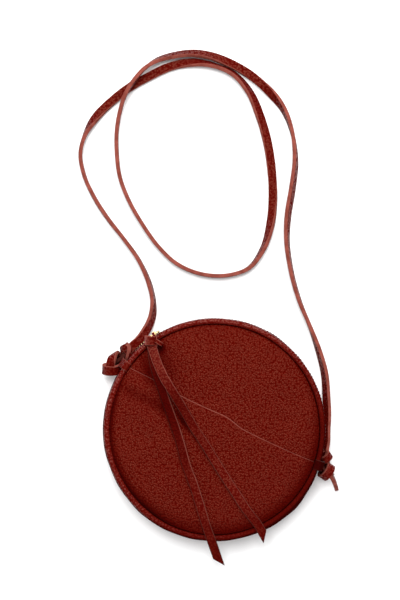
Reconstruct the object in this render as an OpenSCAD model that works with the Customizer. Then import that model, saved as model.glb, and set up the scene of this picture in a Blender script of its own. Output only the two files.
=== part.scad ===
// Round leather shoulder bag with a zip round its upper rim and a long lace strap.
// The bag lies on its flat back. Z is up, the origin is the centre of the back face.
// Angles round the rim are counted from +X, anticlockwise seen from the front.

/* [Bag] */
// Diameter over the two welts
bag_d = 203; // [170:1:250]
// Depth from the flat back to the crown of the front
bag_depth = 46; // [42:0.5:60]
// How far the front swells above the top of its welt
crown_h = 3.5; // [2:0.1:5]
// Thickness of the outer leather
leather_t = 1.6; // [1.2:0.1:2]
// Thickness of the cotton lining
lining_t = 0.6; // [0.4:0.1:0.8]
// Diameter of the rolled welts
welt_d = 5; // [4.4:0.1:5.6]
// Diameter of the cord inside each welt
welt_cord_d = 2.6; // [2:0.1:2.8]
// Gap between pieces that are sewn together
seam_gap = 0.2; // [0.1:0.05:0.3]

/* [Pocket] */
// Distance of the pocket's raw edge from the bag's centre, at its middle
pocket_edge_n = 12; // [5:0.5:18]
// How far that edge curves towards the bag's middle between its ends
pocket_edge_bow = 3; // [1:0.5:6]

/* [Zip] */
// Height of the zip's centre line above the back
zip_z = 21; // [19:0.5:23]
// Right end of the zip, as an angle round the rim
zip_right_deg = -12; // [-20:1:-8]
// Left end of the zip, as an angle round the rim
zip_left_deg = 138; // [132:1:146]
// Half of the slot between the two zip strips
zip_slot_half = 6; // [5.4:0.1:7]
// Width of each tape, from the zip's centre line
tape_w = 10; // [9:0.5:11]
// Thickness of the tape
tape_t = 0.7; // [0.5:0.1:0.9]
// Distance from one tooth to the next in one row
tooth_pitch = 2.6; // [2.4:0.1:3.2]
// Width of a tooth along the zip
tooth_w = 1.1; // [0.9:0.05:1.1]
// Thickness of a tooth through the tape
tooth_t = 2.6; // [2.2:0.1:3]
// How far a meshed tooth reaches over the centre line
tooth_reach = 0.7; // [0.5:0.05:0.8]
// Distance from the centre line to the outer edge of a meshed row
row_w = 2.7; // [2.5:0.1:3]
// How far the slider pushes each row off the centre line
row_spread = 1.6; // [1.5:0.1:2]

/* [Slider and pull] */
// Where the slider stands, as an angle round the rim
slider_deg = 122.5; // [110:0.5:126]
// Length of the slider along the zip
slider_l = 11; // [9:0.5:13]
// Thickness of the slider's plates
slider_t = 1; // [0.8:0.1:1.2]
// Free space between the slider and the teeth
slider_gap = 0.3; // [0.2:0.05:0.4]
// Diameter of the wire of the pull link
link_wire_d = 1.8; // [1.4:0.1:2]
// Width of the pull link between the centres of its sides
link_w = 9.6; // [9:0.2:12]
// Radius of the link's corners at the wire's centre
link_corner_r = 1.6; // [1.2:0.1:2]
// Running gap round the link's end bars
link_gap = 0.08; // [0.05:0.01:0.1]

/* [Laces] */
// Width of the flat lace of the strap and the pull
lace_w = 8; // [6:0.5:9]
// Thickness of that lace
lace_t = 2; // [1.6:0.1:2.2]
// Thickness of the strap, whose lace is folded double
strap_t = 3.6; // [2.4:0.1:3.8]
// Free height under laces that lie on the bag
lace_gap = 0.4; // [0.2:0.05:0.5]
// Width of each strap loop
loop_w = 9; // [8:0.5:12]
// Space behind a strap loop, for the lace
loop_space = 2.6; // [2.4:0.1:3.2]
// Left strap loop, as an angle round the rim
loop_left_deg = 145; // [143:0.5:152]
// Right strap loop, as an angle round the rim
loop_right_deg = -19; // [-26:0.5:-18]

/* [Hidden] */
$fn = 96;

// Colours of the leather, lining, tape, cord and brass
leather = [0.42, 0.10, 0.09];
lining = [0.45, 0.33, 0.26];
tape = [0.30, 0.07, 0.07];
cotton = [0.85, 0.80, 0.70];
brass = [0.83, 0.66, 0.36];

// Overrun of the cutting bodies
over = 1;
// The welts, the gusset between them and the edge of the two round panels
foot_lift = 0.3;
welt_r = bag_d / 2 - welt_d / 2;
back_welt_z = welt_d / 2 + foot_lift;
front_welt_z = bag_depth - crown_h - welt_d / 2;
front_welt_top = front_welt_z + welt_d / 2;
panel_r = welt_r - welt_d / 2 - seam_gap;
gusset_bottom = back_welt_z + welt_d / 2 + seam_gap;
gusset_top = front_welt_z - welt_d / 2 - seam_gap;
gusset_inset = 0.5;
gusset_swell = 1;
gusset_edge_r = bag_d / 2 - gusset_inset;
gusset_r = gusset_edge_r + gusset_swell;
// Gap between the pieces that part when the front folds open
part_gap = 0.4;
part_deg = 0.3;

// The front's swell: it dips a little at the seam and rises steeply inside it
front_dip = 1;
front_edge_z = front_welt_z - front_dip;
front_crown_z = bag_depth - leather_t - seam_gap;
front_steps = 10;
function front_z(r) = let (q = min(r / panel_r, 1))
    front_edge_z + (front_crown_z - front_edge_z) * sqrt(1 - pow(q, 4));
function front_step_r(i, out_r) = out_r * sin(90 * i / front_steps);

// The back is flat where it rests and turns up to its seam
back_turn_w = 7;
back_turn_h = 2;
back_flat_r = panel_r - back_turn_w;
back_steps = 5;

// The fold line of the front, through both ends of the zip
fold_deg = (zip_left_deg + zip_right_deg) / 2;
fold_n = bag_d / 2 * cos((zip_left_deg - zip_right_deg) / 2);
pocket_bow_r = (pow(panel_r, 2) + pow(pocket_edge_bow, 2)) / (2 * pocket_edge_bow);

// The zip's tape lies behind the strips, and the teeth sit on its edge
function gusset_out(z) = gusset_edge_r
    + gusset_swell * sin(180 * (z - gusset_bottom) / (gusset_top - gusset_bottom));
tape_out_r = min(gusset_out(zip_z + tape_w), gusset_out(zip_z - tape_w)) - leather_t - seam_gap;
tape_in_r = tape_out_r - tape_t;
tape_mid_r = tape_out_r - tape_t / 2;
tooth_out_r = tape_mid_r + tooth_t / 2;
tooth_in_r = tape_mid_r - tooth_t / 2;
bead_w = 0.8;
bead_inset = 0.3;
bead_out_r = tooth_out_r - bead_inset;
bead_in_r = tooth_in_r + bead_inset;
zip_inset_deg = 1;
teeth_right_deg = zip_right_deg + 4 * zip_inset_deg;
teeth_left_deg = zip_left_deg - 2 * zip_inset_deg;
tooth_deg = tooth_pitch / tape_mid_r * 180 / PI;
tooth_half_deg = tooth_w / tape_mid_r * 90 / PI;
stop_l = 3;
stop_deg = stop_l / tape_mid_r * 180 / PI;

// The slider: plates outside and inside the tape, lips at the sides, a post between the rows
slider_sag = pow(slider_l / 2, 2) / (2 * tape_mid_r);
slider_out_r = tooth_out_r + slider_gap + slider_t;
slider_in_r = tooth_in_r - slider_gap - slider_sag - slider_t;
slider_narrow = row_w + slider_gap;
slider_wide = row_w + row_spread + slider_gap;
lip_t = 0.8;
lip_gap = 0.4;
post_half = 0.55;
post_l = 3;

// The bail stands on the slider, and the link's near bar lies in it
bail_t = 1.1;
bail_l = 3;
bail_play = 0.3;
bail_hole_h = link_wire_d + 2 * bail_play;
link_near_r = slider_out_r + bail_play + link_wire_d / 2;
// The link leans on the rim, and its far bar stands above the welt
hitch_wall = 2;
hitch_r = link_wire_d / 2 + link_gap + hitch_wall;
rim_gap = 0.6;
link_far_r = bag_d / 2 + rim_gap + link_wire_d / 2;
link_far_z = front_welt_top + rim_gap + hitch_r;
link_l = sqrt(pow(link_near_r - link_far_r, 2) + pow(link_far_z - zip_z, 2));
link_tilt = atan2(link_near_r - link_far_r, link_far_z - zip_z);
// The lace's hitch: a tube round the far bar, a neck, and a band across the tails
hitch_tube_l = link_w - 2 * link_corner_r - lace_gap;
hitch_band_w = 15;
hitch_band_h = 6;
hitch_neck_h = 4;
hitch_bottom = front_welt_top + rim_gap;
hitch_reach = 7.8;
hitch_band_r = link_far_r - hitch_reach;
hitch_band_off = 3.4;
hitch_lean_deg = -32;
hitch_round = 1.4;

// The two tails, from the middle of the hitch's band to the cut ends, seen from the front
hitch_mid = [
    hitch_band_r * cos(slider_deg) - hitch_band_off * sin(slider_deg),
    hitch_band_r * sin(slider_deg) + hitch_band_off * cos(slider_deg)
];
tail_left_route = [
    [-3, -6], [-1, -18], [2, -29], [6, -40], [10, -52], [16, -69], [22, -87], [28, -109],
    [35, -128], [40, -144], [43, -154], [46, -164], [49, -172], [52, -181], [57, -196]
];
tail_right_route = [
    [-3, -6], [2, -17], [8, -30], [14, -40], [20, -50], [27, -62], [35, -76], [43, -88],
    [56, -109], [68, -128], [74, -137], [79, -145], [86, -155], [92, -164], [98, -177]
];
tail_stack = [1, 1, 1, 1, 0.6];
tail_clear = 0.4;
function lace_low(p) = max(
    front_z(norm(p)) + seam_gap + leather_t,
    front_welt_top) + lace_gap;
function tail_point(route, i, upper) =
    let (p = hitch_mid + route[i], more = i < len(tail_stack) ? tail_stack[i] : 0)
    [p[0], p[1], lace_low(p) + lace_t / 2 + upper * more * (lace_t + tail_clear), 90];

// The strap's route: place, height of its centre, and roll (0 on edge, 90 flat)
strap_route = [
    [-84, 69, 24, -45], [-78, 75, 22, -45], [-72, 81, 17, -45], [-66, 89, 11, -40],
    [-58, 105, 4, -30], [-57, 118, 4, -10], [-60, 132, 4, 0], [-70, 155, 4, 0], [-84, 175, 4, 0],
    [-99, 194, 4, 5], [-113, 216, 4, 5], [-122, 237, 4, 0], [-125, 255, 4, 5], [-121, 272, 4, 10],
    [-110, 290, 3, 40], [-96, 304, 3, 60], [-78, 318, 3, 70], [-60, 328, 3, 70], [-43, 336, 3, 60],
    [-26, 340, 3, 35], [-12, 340, 3, 20], [2, 337, 4, 15], [19, 329, 4, 20], [33, 313, 4, 30],
    [43, 290, 4, 50], [50, 265, 4, 65], [54, 237, 4, 80], [55, 214, 4, 105], [53, 191, 4, 130],
    [45, 165, 4, 160], [32, 148, 4, 175], [16, 142, 4, 180], [0, 141, 4, 180], [-17, 144, 4, 180],
    [-36, 153, 4, 180], [-51, 167, 4, 180], [-67, 189, 4, 180], [-81, 214, 4, 180],
    [-88, 233, 4, 180], [-91, 256, 4, 180], [-91, 276, 5, 180], [-88, 294, 7, 180],
    [-82, 311, 12, 180], [-73, 325, 12, 180], [-63, 336, 8, 185], [-52, 343, 5, 195],
    [-38, 347, 4, 205], [-22, 349, 4, 210], [-5, 347, 4, 220], [14, 340, 4, 245], [32, 330, 4, 265],
    [50, 315, 4, 295], [64, 298, 4, 335], [73, 275, 4, 360], [76, 250, 4, 380], [73, 222, 4, 390],
    [69, 197, 4, 390], [68, 175, 4, 380], [71, 151, 4, 375], [80, 117, 4, 370], [89, 95, 4, 360],
    [98, 70, 4, 340], [103, 51, 4, 330], [105, 27, 4, 325], [106, 9, 5, 330], [105, -3, 8, 340],
    [104, -13, 12, 350], [104, -21, 17, 345], [108, -30, 20, 340]
];
strap_lift = 0.1;
strap_end_route = [
    [106, -43, 20, 15], [109, -48, 17, 12], [112, -53, 12, 8], [114, -57, 7, 5]
];

// The strap loops lap over the front welt and stand off the gusset, and the knots are tied
// through and round them
loop_round_h = 5;
loop_lap = 1.5;
loop_in_r = gusset_r + seam_gap;
loop_mid_r = loop_in_r + loop_space;
loop_out_r = loop_mid_r + leather_t;
knot_z = 20;
knot_gap = 0.1;
// Wraps of a knot: place along the rim, off the loop and up, and radius, as shares of the
// lace's width, then turn and lean
wraps_left_shares = [[-0.7, 0.75, 0, 1, 62, 12], [0.4, 0.65, 0.4, 0.75, -25, 25], [1.25, 0.45, 0.65, 0.7, 20, 60]];
wraps_right_shares = [[0.8, 0.6, 0.15, 0.65, 40, 15], [-0.65, 0.7, -0.15, 0.9, 35, 0]];

// Place in the frame of the rim at one angle: X outwards, Y along the rim
module at_rim(deg) {
    rotate([0, 0, deg]) children();
}

// A sector of a ring from a profile of radius and height
module sector(from_deg, to_deg) {
    rotate([0, 0, from_deg]) rotate_extrude(angle = to_deg - from_deg) children();
}

// A profile that is a rectangle of radius and height
module profile(r0, r1, z0, z1) {
    translate([r0, z0]) square([r1 - r0, z1 - z0]);
}

// Everything on the outer side of the fold line, or on the inner side
module beyond_fold(n) {
    rotate([0, 0, fold_deg]) translate([n, -bag_d, -bag_d]) cube(2 * bag_d);
}
module before_fold(n) {
    rotate([0, 0, fold_deg]) translate([n - 2 * bag_d, -bag_d, -bag_d]) cube(2 * bag_d);
}

// A tube of a flat lace through points of place, height and roll
function sub3(a, b) = [a[0] - b[0], a[1] - b[1], a[2] - b[2]];
function lace_tangent(route, i) =
    let (a = route[max(i - 1, 0)], b = route[min(i + 1, len(route) - 1)], d = sub3(b, a))
    d / norm(d);
function lace_side(route, i) =
    let (t = lace_tangent(route, i), s = [t[1], -t[0], 0])
    s / norm(s);
function lace_ring(route, i, w, t) =
    let (
        side = lace_side(route, i),
        up = cross(side, lace_tangent(route, i)),
        roll = route[i][3],
        across = up * cos(roll) + side * sin(roll),
        through = side * cos(roll) - up * sin(roll),
        c = t / 4,
        outline = [
            [w / 2, t / 2 - c], [w / 2 - c, t / 2], [c - w / 2, t / 2], [-w / 2, t / 2 - c],
            [-w / 2, c - t / 2], [c - w / 2, -t / 2], [w / 2 - c, -t / 2], [w / 2, c - t / 2]
        ]
    )
    [for (p = outline) [route[i][0], route[i][1], route[i][2]] + across * p[0] + through * p[1]];
module lace(route, w, t) {
    sides = 8;
    rings = len(route);
    points = [for (i = [0:rings - 1]) each lace_ring(route, i, w, t)];
    walls = [for (i = [0:rings - 2]) for (j = [0:sides - 1])
        let (a = i * sides + j, b = i * sides + (j + 1) % sides)
        each [[a, b, b + sides], [a, b + sides, a + sides]]];
    caps = [[for (j = [sides - 1:-1:0]) j], [for (j = [0:sides - 1]) (rings - 1) * sides + j]];
    polyhedron(points = points, faces = concat(walls, caps));
}
function on_table(route, w, t) = [for (p = route)
    [p[0], p[1], max(p[2], abs(cos(p[3])) * w / 2 + abs(sin(p[3])) * t / 2 + strap_lift), p[3]]];

// Back
module back_panel() {
    function turn(i) = [back_flat_r + back_turn_w * i / back_steps,
        back_turn_h * pow(i / back_steps, 2)];
    color(leather) rotate_extrude() polygon(concat(
        [[0, 0]],
        [for (i = [0:back_steps]) turn(i)],
        [for (i = [back_steps:-1:0]) turn(i) + [0, leather_t]],
        [[0, leather_t]]));
}
module back_lining() {
    color(lining) translate([0, 0, leather_t + seam_gap])
        cylinder(r = back_flat_r, h = lining_t);
}
module welt(z, from_deg, to_deg) {
    color(leather) sector(from_deg, to_deg) translate([welt_r, z]) difference() {
        circle(d = welt_d);
        circle(d = welt_cord_d + seam_gap);
    }
}
module welt_cord(z, from_deg, to_deg) {
    color(cotton) sector(from_deg, to_deg) translate([welt_r, z]) circle(d = welt_cord_d);
}
module back_welt() {
    welt(back_welt_z, 0, 360);
}
module back_welt_cord() {
    welt_cord(back_welt_z, 0, 360);
}

// Gusset and zip strips follow one swell
module gusset_wall(z0, z1, from_deg, to_deg) {
    wall_steps = 6;
    function at(i) = z0 + (z1 - z0) * i / wall_steps;
    color(leather) sector(from_deg, to_deg) polygon(concat(
        [for (i = [0:wall_steps]) [gusset_out(at(i)), at(i)]],
        [for (i = [wall_steps:-1:0]) [gusset_out(at(i)) - leather_t, at(i)]]));
}
module lower_gusset() {
    gusset_wall(gusset_bottom, gusset_top, zip_left_deg + part_deg, 360 + zip_right_deg - part_deg);
}
module gusset_lining() {
    out_r = gusset_edge_r - leather_t - seam_gap;
    color(lining) sector(zip_left_deg + part_deg, 360 + zip_right_deg - part_deg)
        profile(out_r - lining_t, out_r, gusset_bottom, gusset_top);
}
module zip_strip_back() {
    gusset_wall(gusset_bottom, zip_z - zip_slot_half, zip_right_deg, zip_left_deg);
}
module zip_strip_front() {
    gusset_wall(zip_z + zip_slot_half, gusset_top, zip_right_deg, zip_left_deg);
}

// Front, its lining and the pocket over its lower part
module swell(out_r, low, high) {
    rotate_extrude() polygon(concat(
        [for (i = [0:front_steps])
            let (r = front_step_r(i, out_r)) [r, front_z(r) + high]],
        [for (i = [front_steps:-1:0])
            let (r = front_step_r(i, out_r)) [r, front_z(r) + low]]));
}
module front_panel() {
    swell(panel_r, -leather_t, 0);
}
module front_lining() {
    swell(back_flat_r, -leather_t - seam_gap - lining_t, -leather_t - seam_gap);
}
module front_panel_lower() {
    color(leather) intersection() {
        front_panel();
        before_fold(fold_n - part_gap / 2);
    }
}
module front_panel_upper() {
    color(leather) intersection() {
        front_panel();
        beyond_fold(fold_n + part_gap / 2);
    }
}
module front_lining_lower() {
    color(lining) intersection() {
        front_lining();
        before_fold(fold_n - part_gap / 2);
    }
}
module front_lining_upper() {
    color(lining) intersection() {
        front_lining();
        beyond_fold(fold_n + part_gap / 2);
    }
}
module pocket_panel() {
    color(leather) difference() {
        intersection() {
            swell(panel_r, seam_gap, seam_gap + leather_t);
            before_fold(pocket_edge_n + pocket_edge_bow);
        }
        rotate([0, 0, fold_deg]) translate([pocket_edge_n + pocket_bow_r, 0, 0])
            cylinder(r = pocket_bow_r, h = 2 * bag_depth, $fn = 256);
    }
}
module front_welt_lower() {
    welt(front_welt_z, zip_left_deg + part_deg, 360 + zip_right_deg - part_deg);
}
module front_welt_upper() {
    welt(front_welt_z, zip_right_deg, zip_left_deg);
}
module front_welt_cord_lower() {
    welt_cord(front_welt_z, zip_left_deg + part_deg, 360 + zip_right_deg - part_deg);
}
module front_welt_cord_upper() {
    welt_cord(front_welt_z, zip_right_deg, zip_left_deg);
}

// Zip: side is 1 for the front row and -1 for the back row
module zip_tape(side) {
    wide = row_w + row_spread;
    color(tape) difference() {
        sector(zip_right_deg, zip_left_deg) profile(tape_in_r, tape_out_r,
            side > 0 ? zip_z + row_w : zip_z - tape_w,
            side > 0 ? zip_z + tape_w : zip_z - row_w);
        sector(slider_deg, zip_left_deg + zip_inset_deg)
            profile(tape_in_r - over, tape_out_r + over, zip_z - wide, zip_z + wide);
    }
}
module zip_teeth(side) {
    shift = side > 0 ? 0 : tooth_deg / 2;
    color(brass) {
        bead(side, 0, teeth_right_deg, slider_deg + tooth_half_deg);
        bead(side, row_spread, slider_deg - tooth_half_deg, teeth_left_deg);
        bead_step(side);
        for (a = [teeth_right_deg + tooth_half_deg + shift:tooth_deg:teeth_left_deg - tooth_half_deg])
            tooth(side, a, a < slider_deg ? 0 : row_spread);
    }
}
module bead(side, off, from_deg, to_deg) {
    sector(from_deg, to_deg) profile(bead_in_r, bead_out_r,
        side > 0 ? zip_z + off + row_w - bead_w : zip_z - off - row_w,
        side > 0 ? zip_z + off + row_w : zip_z - off - row_w + bead_w);
}
module bead_step(side) {
    low = row_w - bead_w;
    high = row_w + row_spread;
    sector(slider_deg - tooth_half_deg / 2, slider_deg + tooth_half_deg / 2) profile(
        bead_in_r + bead_inset, bead_out_r - bead_inset,
        side > 0 ? zip_z + low : zip_z - high,
        side > 0 ? zip_z + high : zip_z - low);
}
module tooth(side, a, off) {
    z0 = side > 0 ? zip_z + off - tooth_reach : zip_z - off - row_w + bead_w / 2;
    at_rim(a) translate([tooth_in_r, -tooth_w / 2, z0])
        cube([tooth_t, tooth_w, row_w + tooth_reach - bead_w / 2]);
}
module zip_tape_back() {
    zip_tape(-1);
}
module zip_tape_front() {
    zip_tape(1);
}
module zip_teeth_back() {
    zip_teeth(-1);
}
module zip_teeth_front() {
    zip_teeth(1);
}
module zip_stop_right() {
    color(brass) sector(teeth_right_deg - stop_deg - part_deg, teeth_right_deg - part_deg)
        difference() {
            profile(tooth_in_r, tooth_out_r, zip_z - row_w - bead_w, zip_z + row_w);
            profile(tape_in_r - seam_gap, tape_out_r + seam_gap, zip_z + row_w - over, zip_z + row_w + over);
            profile(tape_in_r - seam_gap, tape_out_r + seam_gap, zip_z - row_w - over, zip_z - row_w);
        }
}
module zip_stop_left(side) {
    low = row_w + row_spread;
    color(brass) sector(teeth_left_deg + part_deg / 3, teeth_left_deg + part_deg / 3 + stop_deg)
        profile(tooth_in_r, tooth_out_r,
            side > 0 ? zip_z + row_spread : zip_z - low,
            side > 0 ? zip_z + low : zip_z - row_spread);
}
module zip_stop_left_back() {
    zip_stop_left(-1);
}
module zip_stop_left_front() {
    zip_stop_left(1);
}

// Slider: its narrow end runs over the meshed teeth, its wide end over the parted rows
module slider_outline(extra) {
    half_l = slider_l / 2;
    polygon([
        [-half_l, -slider_narrow - extra], [-post_l, -slider_narrow - extra],
        [-tooth_w, -slider_wide - extra], [half_l, -slider_wide - extra],
        [half_l, slider_wide + extra], [-tooth_w, slider_wide + extra],
        [-post_l, slider_narrow + extra], [-half_l, slider_narrow + extra]
    ]);
}
module slider_layer(r0, r1) {
    translate([r0, 0, zip_z]) rotate([90, 0, 90]) linear_extrude(r1 - r0) children();
}
module zip_slider() {
    half_l = slider_l / 2;
    slot_in = tape_in_r - lip_gap - slider_sag;
    color(brass) at_rim(slider_deg) difference() {
        slider_layer(slider_in_r, slider_out_r) slider_outline(lip_t);
        slider_layer(slider_in_r + slider_t, slider_out_r - slider_t) difference() {
            union() {
                slider_outline(0);
                square([slider_l + over, 2 * slider_narrow], center = true);
            }
            polygon([[half_l, post_half], [half_l - post_l, 0], [half_l, -post_half],
                [half_l + over, -post_half], [half_l + over, post_half]]);
        }
        for (side = [0, 1]) mirror([0, 0, side]) translate([0, 0, side ? -2 * zip_z : 0])
            slider_layer(slot_in, tape_out_r + lip_gap)
                translate([-slider_l, slider_narrow - lip_gap]) square([2 * slider_l, bag_depth]);
    }
}
module zip_bail() {
    half = link_wire_d / 2 + bail_play;
    color(brass) at_rim(slider_deg) difference() {
        translate([slider_out_r, -bail_l / 2, zip_z - half - bail_t])
            cube([bail_hole_h + bail_t, bail_l, 2 * (half + bail_t)]);
        translate([slider_out_r - over, -bail_l, zip_z - half])
            cube([bail_hole_h + over, 2 * bail_l, 2 * half]);
    }
}

// Pull link: a wire loop from the bail up to the rim
module pull_link() {
    bar = link_w - 2 * link_corner_r;
    side = link_l - 2 * link_corner_r;
    color(brass) at_rim(slider_deg) translate([link_near_r, 0, zip_z]) rotate([0, -link_tilt, 0]) {
        for (z = [0, link_l])
            translate([0, bar / 2, z]) rotate([90, 0, 0]) cylinder(d = link_wire_d, h = bar);
        for (s = [-1, 1]) translate([0, s * link_w / 2, link_corner_r])
            cylinder(d = link_wire_d, h = side);
        for (q = [[1, 1, 0], [-1, 1, 1], [-1, 0, 2], [1, 0, 3]])
            translate([0, q[0] * bar / 2, link_corner_r + q[1] * side])
                rotate([90, 0, 90]) rotate([0, 0, 90 * q[2]])
                    rotate_extrude(angle = 90) translate([link_corner_r, 0]) circle(d = link_wire_d);
    }
}

// Hitch of the pull's lace on the far bar
module pull_hitch() {
    color(leather) at_rim(slider_deg) difference() {
        union() {
            translate([link_far_r, hitch_tube_l / 2, link_far_z]) rotate([90, 0, 0])
                cylinder(r = hitch_r, h = hitch_tube_l);
            translate([hitch_band_r, -hitch_tube_l / 2, link_far_z - hitch_neck_h / 2])
                cube([link_far_r - hitch_band_r, hitch_tube_l, hitch_neck_h]);
            translate([hitch_band_r, hitch_band_off, hitch_bottom])
                rotate([0, 0, hitch_lean_deg]) hitch_band();
        }
        translate([link_far_r, hitch_tube_l, link_far_z]) rotate([90, 0, 0])
            cylinder(r = link_wire_d / 2 + link_gap, h = 2 * hitch_tube_l);
    }
}
module hitch_band() {
    translate([-lace_w / 2, 0, hitch_band_h / 2]) rotate([0, 90, 0]) linear_extrude(lace_w) {
        square([hitch_band_h, hitch_band_w - 2 * hitch_round], center = true);
        square([hitch_band_h - 2 * hitch_round, hitch_band_w], center = true);
        for (x = [-1, 1]) for (y = [-1, 1])
            translate([x * (hitch_band_h / 2 - hitch_round), y * (hitch_band_w / 2 - hitch_round)])
                circle(r = hitch_round);
    }
}
module pull_tail_left() {
    color(leather) lace([for (i = [0:len(tail_left_route) - 1])
        tail_point(tail_left_route, i, 0)], lace_w, lace_t);
}
module pull_tail_right() {
    color(leather) lace([for (i = [0:len(tail_right_route) - 1])
        tail_point(tail_right_route, i, 1)], lace_w, lace_t);
}

// Strap loops, knots and strap
module strap_loop(deg) {
    low = gusset_bottom;
    high = gusset_top;
    lap_in = welt_d / 2 + seam_gap;
    lap_out = lap_in + leather_t;
    color(leather) at_rim(deg) translate([0, loop_w / 2, 0]) rotate([90, 0, 0])
        linear_extrude(loop_w) {
            intersection() {
                translate([welt_r, front_welt_z]) difference() {
                    circle(r = lap_out);
                    circle(r = lap_in);
                }
                translate([welt_r - loop_lap, front_welt_z - leather_t / 2]) square(2 * lap_out);
            }
            polygon([
                [loop_in_r, low], [loop_in_r + leather_t, low],
                [loop_out_r, low + loop_round_h], [loop_out_r, high - loop_round_h],
                [welt_r + lap_out, front_welt_z], [welt_r + lap_in, front_welt_z],
                [loop_mid_r, high - loop_round_h - leather_t / 2],
                [loop_mid_r, low + loop_round_h + leather_t / 2],
                [loop_in_r, low + leather_t]
            ]);
        }
}
module strap_loop_left() {
    strap_loop(loop_left_deg);
}
module strap_loop_right() {
    strap_loop(loop_right_deg);
}
module strap_knot(deg, wraps) {
    behind_t = loop_space - 2 * knot_gap;
    behind_w = loop_w + 2 * lace_t + 2 * knot_gap;
    color(leather) at_rim(deg) {
        difference() {
            translate([loop_in_r + knot_gap, -behind_w / 2, knot_z - lace_w / 2])
                cube([loop_out_r + lace_t - loop_in_r, behind_w, lace_w]);
            translate([loop_mid_r - knot_gap, -loop_w / 2 - knot_gap, 0])
                cube([leather_t + 2 * knot_gap, loop_w + 2 * knot_gap, bag_depth]);
        }
        difference() {
            for (p = wraps)
                translate([loop_out_r + lace_w * p[1], lace_w * p[0], knot_z + lace_w * p[2]])
                    rotate([0, p[5], 0]) rotate([90, 0, p[4]]) knot_wrap(lace_w * p[3]);
            translate([0, -bag_d / 2, -bag_d / 2])
                cube([loop_out_r + knot_gap, bag_d, bag_d]);
        }
    }
}
module knot_wrap(r) {
    translate([0, 0, -lace_w / 2]) difference() {
        cylinder(r = r, h = lace_w);
        translate([0, 0, lace_w - over]) cylinder(r = r - lace_t, h = 2 * over);
        translate([0, 0, -over]) cylinder(r = r - lace_t, h = 2 * over);
    }
}
module strap_knot_left() {
    strap_knot(loop_left_deg, wraps_left_shares);
}
module strap_knot_right() {
    strap_knot(loop_right_deg, wraps_right_shares);
}
module strap() {
    color(leather) lace(on_table(strap_route, lace_w, strap_t), lace_w, strap_t);
}
module strap_end_right() {
    color(leather) lace(on_table(strap_end_route, lace_w, strap_t), lace_w, strap_t);
}

back_panel();
back_lining();
back_welt();
back_welt_cord();
lower_gusset();
gusset_lining();
front_panel_lower();
front_lining_lower();
pocket_panel();
front_welt_lower();
front_welt_cord_lower();
zip_strip_back();
zip_tape_back();
zip_teeth_back();
zip_stop_right();
zip_stop_left_back();
strap_loop_left();
strap_loop_right();
strap();
strap_knot_left();
strap_knot_right();
strap_end_right();
front_panel_upper();
front_lining_upper();
front_welt_upper();
front_welt_cord_upper();
zip_strip_front();
zip_tape_front();
zip_teeth_front();
zip_stop_left_front();
zip_slider();
zip_bail();
pull_link();
pull_hitch();
pull_tail_left();
pull_tail_right();
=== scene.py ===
import math
import bmesh
import bpy
import numpy as np
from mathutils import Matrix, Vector


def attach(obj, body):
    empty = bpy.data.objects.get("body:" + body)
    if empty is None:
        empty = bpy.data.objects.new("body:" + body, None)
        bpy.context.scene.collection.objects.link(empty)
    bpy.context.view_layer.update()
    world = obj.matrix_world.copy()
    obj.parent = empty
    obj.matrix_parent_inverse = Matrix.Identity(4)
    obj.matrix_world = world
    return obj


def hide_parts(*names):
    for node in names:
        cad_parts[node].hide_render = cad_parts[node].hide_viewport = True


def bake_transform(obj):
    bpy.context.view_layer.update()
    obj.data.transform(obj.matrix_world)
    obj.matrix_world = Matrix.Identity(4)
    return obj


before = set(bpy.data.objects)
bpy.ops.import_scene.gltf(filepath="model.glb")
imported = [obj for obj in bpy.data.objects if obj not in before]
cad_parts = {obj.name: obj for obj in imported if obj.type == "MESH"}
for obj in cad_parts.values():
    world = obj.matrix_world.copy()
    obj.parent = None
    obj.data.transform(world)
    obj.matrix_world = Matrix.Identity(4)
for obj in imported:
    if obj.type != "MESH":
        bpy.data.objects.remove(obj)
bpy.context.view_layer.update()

scene = bpy.context.scene
MM = 0.001
FULL_TURN = 6.283

# Directions on the front: out over the pocket's raw edge, and along that edge
FOLD = math.radians(63)
FOLD_OUT = np.array([math.cos(FOLD), math.sin(FOLD)])
FOLD_ALONG = np.array([-math.sin(FOLD), math.cos(FOLD)])

# The bag's radii, heights and thicknesses
PANEL_R, FRONT_EDGE_R, RIM_R, BACK_FLAT_R = 96.3, 97.2, 95.6, 89.3
WELT_R, WELT_HALF = 99.0, 2.5
FRONT_WELT_Z, BACK_WELT_Z = 40.0, 2.8
WALL_R = 101
LEATHER_T, LINING_T = 1.6, 0.6

# The zip's height and radius, and its ends and slider as angles round the bag
ZIP_Z, TAPE_R = 21.0, 99.43
ZIP_RIGHT, ZIP_LEFT = -12.0, 138.0
SLIDER_AT = 122.5

# The laces' sections, and the middle of the pull's hitch
LACE_W, LACE_T, STRAP_T = 8.0, 2.0, 3.6
HITCH = (-54.0, 78.5)

# Painted shade: its strongest value, and the colour that it goes to
DARKEST = 0.95
SHADOW = (0.012, 0.0006, 0.0006)


# Camera, straight above the bag
camera_data = bpy.data.cameras.new("camera")
camera_data.lens = 102.42
camera_data.sensor_width = 36
camera_data.clip_end = 20
camera = bpy.data.objects.new("camera", camera_data)
camera.location = (-0.0132, 0.1184, 1.6)
scene.collection.objects.link(camera)
scene.camera = camera


# Small helpers
def soft_step(a, b, x):
    t = np.clip((x - a) / (b - a), 0, 1)
    return t * t * (3 - 2 * t)


def hill(centre, half, x):
    return np.exp(-((x - centre) / half) ** 2)


def waves(x, y, size, seed, count=9):
    """Soft irregular waves over a plane, of about the given length."""
    rng = np.random.RandomState(seed)
    total = 0
    for _ in range(count):
        turn = rng.uniform(0, FULL_TURN)
        k = FULL_TURN / size * rng.uniform(0.55, 1.7)
        shift = rng.uniform(0, FULL_TURN)
        total = total + np.sin(k * (x * math.cos(turn) + y * math.sin(turn)) + shift)
    return total / math.sqrt(count)


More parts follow.
